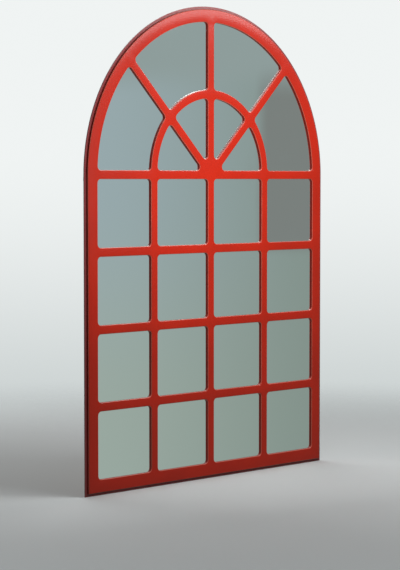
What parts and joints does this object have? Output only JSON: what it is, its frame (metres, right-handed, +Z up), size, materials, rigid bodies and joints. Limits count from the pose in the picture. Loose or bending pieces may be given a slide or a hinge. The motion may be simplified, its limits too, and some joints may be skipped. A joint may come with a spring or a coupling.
{
  "type": "arched window mirror",
  "caption": "Arched wall mirror shaped like a paned window: red lacquered lattice over separate mirror panes, with a rim, a back board held by turn buttons, and ring hangers.",
  "frame": {"origin": "on the wall plane, midway between the two points that the mirror hangs from, level with the spring line of the arch", "axes": "+X to the right seen from the room, +Y into the wall, +Z up"},
  "size_m": [0.7, 0.017, 0.99],
  "materials": {
    "red_lacquer": "red semi-gloss lacquer on fibreboard",
    "maroon_lacquer": "dark maroon satin lacquer on fibreboard",
    "mirror_glass": "silvered glass",
    "hardboard": "bare hardboard",
    "zinc_steel": "zinc-plated",
    "rubber": "matte"
  },
  "bodies": {
    "frame": {"front_lattice": "red_lacquer", "rim_left": "maroon_lacquer", "rim_right": "maroon_lacquer", "rim_bottom": "maroon_lacquer", "rim_arch_left": "maroon_lacquer", "rim_arch_right": "maroon_lacquer", "pane_row1_column1": "mirror_glass", "pane_row1_column2": "mirror_glass", "pane_row1_column3": "mirror_glass", "pane_row1_column4": "mirror_glass", "pane_row2_column1": "mirror_glass", "pane_row2_column2": "mirror_glass", "pane_row2_column3": "mirror_glass", "pane_row2_column4": "mirror_glass", "pane_row3_column1": "mirror_glass", "pane_row3_column2": "mirror_glass", "pane_row3_column3": "mirror_glass", "pane_row3_column4": "mirror_glass", "pane_row4_column1": "mirror_glass", "pane_row4_column2": "mirror_glass", "pane_row4_column3": "mirror_glass", "pane_row4_column4": "mirror_glass", "pane_inner_fan1": "mirror_glass", "pane_inner_fan2": "mirror_glass", "pane_inner_fan3": "mirror_glass", "pane_inner_fan4": "mirror_glass", "pane_outer_fan1": "mirror_glass", "pane_outer_fan2": "mirror_glass", "pane_outer_fan3": "mirror_glass", "pane_outer_fan4": "mirror_glass", "back_board": "hardboard", "button_screws": "zinc_steel", "hanger_left": "zinc_steel", "hanger_right": "zinc_steel", "hanger_screws": "zinc_steel", "pad_left_upper": "rubber", "pad_right_upper": "rubber", "pad_left_lower": "rubber", "pad_right_lower": "rubber"},
    "button_left_lower": {"button_left_lower": "zinc_steel"},
    "button_left_upper": {"button_left_upper": "zinc_steel"},
    "button_left_arch": {"button_left_arch": "zinc_steel"},
    "button_right_arch": {"button_right_arch": "zinc_steel"},
    "button_right_upper": {"button_right_upper": "zinc_steel"},
    "button_right_lower": {"button_right_lower": "zinc_steel"},
    "button_bottom_right": {"button_bottom_right": "zinc_steel"},
    "button_bottom_left": {"button_bottom_left": "zinc_steel"},
    "ring_left": {"ring_left": "zinc_steel"},
    "ring_right": {"ring_right": "zinc_steel"}
  },
  "joints": [
    {"name": "left_lower_button_turn", "type": "hinge", "parent": "frame", "child": "button_left_lower", "pos_m": [-0.3385, -0.00646, -0.512], "axis": [0, 1, 0], "continuous": true},
    {"name": "left_upper_button_turn", "type": "hinge", "parent": "frame", "child": "button_left_upper", "pos_m": [-0.3385, -0.00646, -0.256], "axis": [0, 1, 0], "continuous": true},
    {"name": "left_arch_button_turn", "type": "hinge", "parent": "frame", "child": "button_left_arch", "pos_m": [-0.19416, -0.00646, 0.27728], "axis": [0, 1, 0], "continuous": true},
    {"name": "right_arch_button_turn", "type": "hinge", "parent": "frame", "child": "button_right_arch", "pos_m": [0.19416, -0.00646, 0.27728], "axis": [0, 1, 0], "continuous": true},
    {"name": "right_upper_button_turn", "type": "hinge", "parent": "frame", "child": "button_right_upper", "pos_m": [0.3385, -0.00646, -0.256], "axis": [0, 1, 0], "continuous": true},
    {"name": "right_lower_button_turn", "type": "hinge", "parent": "frame", "child": "button_right_lower", "pos_m": [0.3385, -0.00646, -0.512], "axis": [0, 1, 0], "continuous": true},
    {"name": "bottom_right_button_turn", "type": "hinge", "parent": "frame", "child": "button_bottom_right", "pos_m": [0.175, -0.00646, -0.6285], "axis": [0, 1, 0], "continuous": true},
    {"name": "bottom_left_button_turn", "type": "hinge", "parent": "frame", "child": "button_bottom_left", "pos_m": [-0.175, -0.00646, -0.6285], "axis": [0, 1, 0], "continuous": true},
    {"name": "left_ring_swing", "type": "hinge", "parent": "frame", "child": "ring_left", "pos_m": [-0.3355, -0.00393, -0.01322], "axis": [-1, 0, 0], "range_deg": [0, 180]},
    {"name": "right_ring_swing", "type": "hinge", "parent": "frame", "child": "ring_right", "pos_m": [0.3355, -0.00393, -0.01322], "axis": [-1, 0, 0], "range_deg": [0, 180]}
  ]
}
